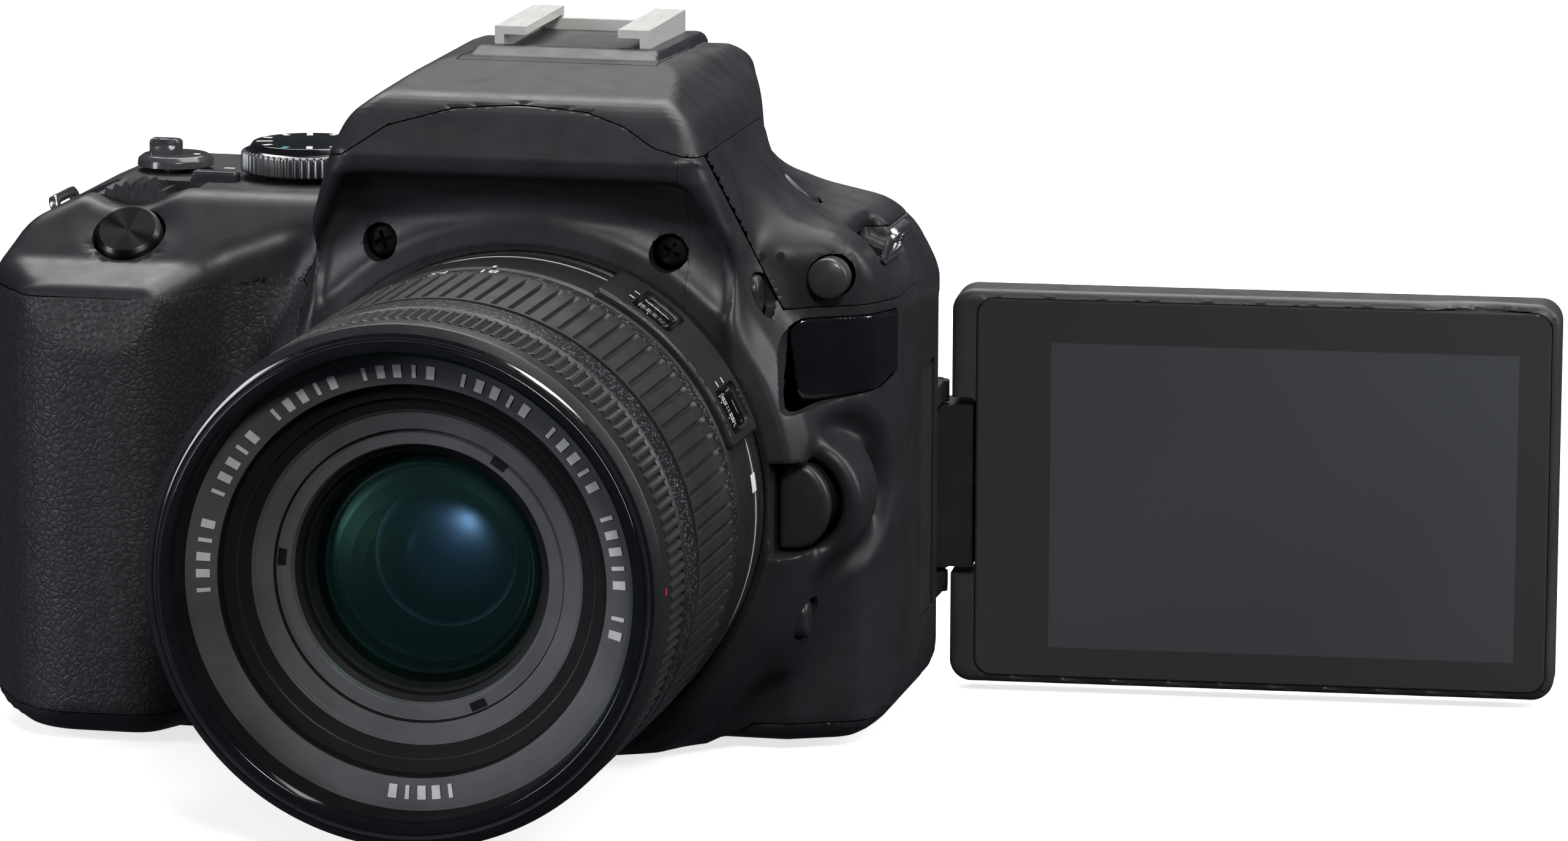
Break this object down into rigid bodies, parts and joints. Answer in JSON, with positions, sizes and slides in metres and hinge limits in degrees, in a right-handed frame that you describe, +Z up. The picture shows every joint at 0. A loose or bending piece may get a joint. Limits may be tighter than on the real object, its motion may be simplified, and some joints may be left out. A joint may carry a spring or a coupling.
{
  "type": "digital single-lens reflex camera",
  "caption": "Small reflex camera with a zoom lens, pop-up flash, hot shoe, dials, buttons and a side-hinged display that swings out and turns.",
  "frame": {"origin": "mouth of the tripod socket, in the plane of the base, under the lens axis", "axes": "+Z up, the lens looks along -Y, the eyepiece is at +Y, and the opened display stands out at +X"},
  "size_m": [0.2058, 0.1306, 0.0926],
  "materials": {
    "body_plastic": "fine moulded texture, satin black",
    "grip_rubber": "leather-grain rubber",
    "gloss_black": "gloss black",
    "frame_metal": "cast, blasted",
    "black_inner": "flocked matte black",
    "steel": "brushed",
    "polished_steel": "polished",
    "lamp": "smoked translucent dome",
    "screw_black": "black oxide",
    "optical_glass": "coated",
    "mirror": "front-silvered",
    "sensor": "filter glass over silicon",
    "board": "solder mask",
    "battery_grey": "matte",
    "spun_metal": "spun dark metal",
    "button_plastic": "satin",
    "display_glass": "glass-smooth",
    "lens_black": "satin, fine sparkle",
    "ring_rubber": "ribbed rubber",
    "flash_lens": "ribbed diffuser"
  },
  "bodies": {
    "camera_body": {"front_cover": "body_plastic", "top_cover": "body_plastic", "rear_cover": "body_plastic", "base_cover": "body_plastic", "grip_skin": "grip_rubber", "thumb_pad": "grip_rubber", "badge_plate": "gloss_black", "chassis": "frame_metal", "mirror_box": "black_inner", "mount_flange": "steel", "lamp_window": "lamp", "accessory_shoe": "steel", "strap_lugs": "polished_steel", "cover_screws": "screw_black", "tripod_socket": "steel", "eyecup": "grip_rubber", "eyepiece_lens": "optical_glass", "pentamirror": "black_inner", "focusing_screen": "optical_glass", "shutter_unit": "black_inner", "image_sensor": "sensor", "main_board": "board", "battery": "battery_grey", "socket_block": "black_inner"},
    "shutter_button": {"shutter_button": "spun_metal"},
    "main_dial": {"main_dial": "button_plastic"},
    "power_switch": {"power_switch": "gloss_black"},
    "mode_dial": {"mode_dial": "gloss_black"},
    "iso_button": {"iso_button": "button_plastic"},
    "wireless_button": {"wireless_button": "button_plastic"},
    "flash_button": {"flash_button": "button_plastic"},
    "preview_button": {"preview_button": "button_plastic"},
    "release_button": {"release_button": "button_plastic"},
    "lock_pin": {"lock_pin": "steel"},
    "flash_head": {"flash_head": "body_plastic", "flash_window": "flash_lens"},
    "reflex_mirror": {"reflex_mirror": "mirror"},
    "battery_door": {"battery_door": "body_plastic"},
    "door_latch": {"door_latch": "button_plastic"},
    "terminal_cover": {"terminal_cover": "grip_rubber"},
    "screen_hinge": {"screen_hinge": "body_plastic"},
    "screen": {"screen_case": "body_plastic", "screen_panel": "display_glass"},
    "diopter_wheel": {"diopter_wheel": "button_plastic"},
    "menu_button": {"menu_button": "button_plastic"},
    "info_button": {"info_button": "button_plastic"},
    "live_view_button": {"live_view_button": "button_plastic"},
    "playback_button": {"playback_button": "button_plastic"},
    "cross_keys": {"cross_keys": "button_plastic"},
    "set_button": {"set_button": "button_plastic"},
    "lens": {"lens_bayonet": "steel", "lens_barrel": "lens_black", "rear_glass": "optical_glass", "iris_unit": "black_inner"},
    "zoom_ring": {"zoom_ring": "ring_rubber"},
    "front_barrel": {"front_barrel": "lens_black", "front_glass": "optical_glass"},
    "focus_ring": {"focus_ring": "ring_rubber"},
    "focus_switch": {"focus_switch": "button_plastic"},
    "stabiliser_switch": {"stabiliser_switch": "button_plastic"}
  },
  "joints": [
    {"name": "shutter_press", "type": "slide", "parent": "camera_body", "child": "shutter_button", "axis": [0, 0.6428, -0.766], "range_m": [0, 0.0009], "stiffness_N_per_m": 400},
    {"name": "main_dial_turn", "type": "hinge", "parent": "camera_body", "child": "main_dial", "pos_m": [-0.058, -0.0075, 0.0629], "axis": [0, 1, 0], "continuous": true},
    {"name": "power_switch_turn", "type": "hinge", "parent": "camera_body", "child": "power_switch", "pos_m": [-0.0568, 0.0052, 0.071], "axis": [0, 0, 1], "range_deg": [0, 50]},
    {"name": "mode_dial_turn", "type": "hinge", "parent": "camera_body", "child": "mode_dial", "pos_m": [-0.0379, 0.005, 0.071], "axis": [0, 0, 1], "continuous": true},
    {"name": "iso_press", "type": "slide", "parent": "camera_body", "child": "iso_button", "axis": [0, 0, -1], "range_m": [0, 0.0006], "stiffness_N_per_m": 400},
    {"name": "wireless_press", "type": "slide", "parent": "camera_body", "child": "wireless_button", "axis": [0, 0, -1], "range_m": [0, 0.0006], "stiffness_N_per_m": 400},
    {"name": "flash_press", "type": "slide", "parent": "camera_body", "child": "flash_button", "axis": [-1, 0, 0], "range_m": [0, 0.0006], "stiffness_N_per_m": 400},
    {"name": "preview_press", "type": "slide", "parent": "camera_body", "child": "preview_button", "axis": [-1, 0, 0], "range_m": [0, 0.0006], "stiffness_N_per_m": 400},
    {"name": "release_press", "type": "slide", "parent": "camera_body", "child": "release_button", "axis": [0, 1, 0], "range_m": [0, 0.002], "stiffness_N_per_m": 400},
    {"name": "lock_pin_slide", "type": "slide", "parent": "camera_body", "child": "lock_pin", "axis": [0, 1, 0], "range_m": [0, 0.0016]},
    {"name": "flash_popup", "type": "hinge", "parent": "camera_body", "child": "flash_head", "pos_m": [0, 0.0095, 0.0836], "axis": [-1, 0, 0], "range_deg": [0, 62]},
    {"name": "mirror_flip", "type": "hinge", "parent": "camera_body", "child": "reflex_mirror", "pos_m": [0, 0.006, 0.0493], "axis": [-1, 0, 0], "range_deg": [0, 44]},
    {"name": "battery_door_hinge", "type": "hinge", "parent": "camera_body", "child": "battery_door", "pos_m": [-0.0447, -0.008, 0.00135], "axis": [0, -1, 0], "range_deg": [0, 95]},
    {"name": "door_latch_slide", "type": "slide", "parent": "battery_door", "child": "door_latch", "axis": [1, 0, 0], "range_m": [0, 0.0025], "stiffness_N_per_m": 100},
    {"name": "terminal_cover_hinge", "type": "hinge", "parent": "camera_body", "child": "terminal_cover", "pos_m": [0.0452, 0.0088, 0.0298], "axis": [0, 0, -1], "range_deg": [0, 100]},
    {"name": "screen_swing", "type": "hinge", "parent": "camera_body", "child": "screen_hinge", "pos_m": [0.044, 0.0264, 0.0276], "axis": [0, 0, 1], "range_deg": [0, 176]},
    {"name": "screen_turn", "type": "hinge", "parent": "screen_hinge", "child": "screen", "pos_m": [0.04981, 0.02931, 0.0276], "axis": [0.9976, 0.0698, 0], "range_deg": [-270, 0]},
    {"name": "diopter_turn", "type": "hinge", "parent": "camera_body", "child": "diopter_wheel", "pos_m": [0.0163, 0.0256, 0.074], "axis": [1, 0, 0], "range_deg": [-60, 60]},
    {"name": "menu_press", "type": "slide", "parent": "camera_body", "child": "menu_button", "axis": [0, -1, 0], "range_m": [0, 0.0006], "stiffness_N_per_m": 400},
    {"name": "info_press", "type": "slide", "parent": "camera_body", "child": "info_button", "axis": [0, -1, 0], "range_m": [0, 0.0006], "stiffness_N_per_m": 400},
    {"name": "live_view_press", "type": "slide", "parent": "camera_body", "child": "live_view_button", "axis": [0, -1, 0], "range_m": [0, 0.0006], "stiffness_N_per_m": 400},
    {"name": "playback_press", "type": "slide", "parent": "camera_body", "child": "playback_button", "axis": [0, -1, 0], "range_m": [0, 0.0006], "stiffness_N_per_m": 400},
    {"name": "cross_keys_press", "type": "slide", "parent": "camera_body", "child": "cross_keys", "axis": [0, -1, 0], "range_m": [0, 0.0006], "stiffness_N_per_m": 400},
    {"name": "set_press", "type": "slide", "parent": "camera_body", "child": "set_button", "axis": [0, -1, 0], "range_m": [0, 0.0006], "stiffness_N_per_m": 400},
    {"name": "lens_lock_turn", "type": "hinge", "parent": "camera_body", "child": "lens", "pos_m": [0, -0.03, 0.0345], "axis": [0, 1, 0], "range_deg": [0, 60]},
    {"name": "zoom_turn", "type": "hinge", "parent": "lens", "child": "zoom_ring", "pos_m": [0, -0.059, 0.0345], "axis": [0, 1, 0], "range_deg": [0, 70]},
    {"name": "zoom_slide", "type": "slide", "parent": "lens", "child": "front_barrel", "axis": [0, -1, 0], "range_m": [0, 0.014]},
    {"name": "focus_turn", "type": "hinge", "parent": "front_barrel", "child": "focus_ring", "pos_m": [0, -0.0824, 0.0345], "axis": [0, 1, 0], "continuous": true},
    {"name": "focus_switch_slide", "type": "slide", "parent": "lens", "child": "focus_switch", "axis": [0, 1, 0], "range_m": [0, 0.003]},
    {"name": "stabiliser_switch_slide", "type": "slide", "parent": "lens", "child": "stabiliser_switch", "axis": [0, 1, 0], "range_m": [0, 0.003]}
  ],
  "couplings": [
    {"joint": "lock_pin_slide", "follows": "release_press", "ratio": 0.8},
    {"joint": "zoom_slide", "follows": "zoom_turn", "m_per_rad": 0.011459}
  ]
}
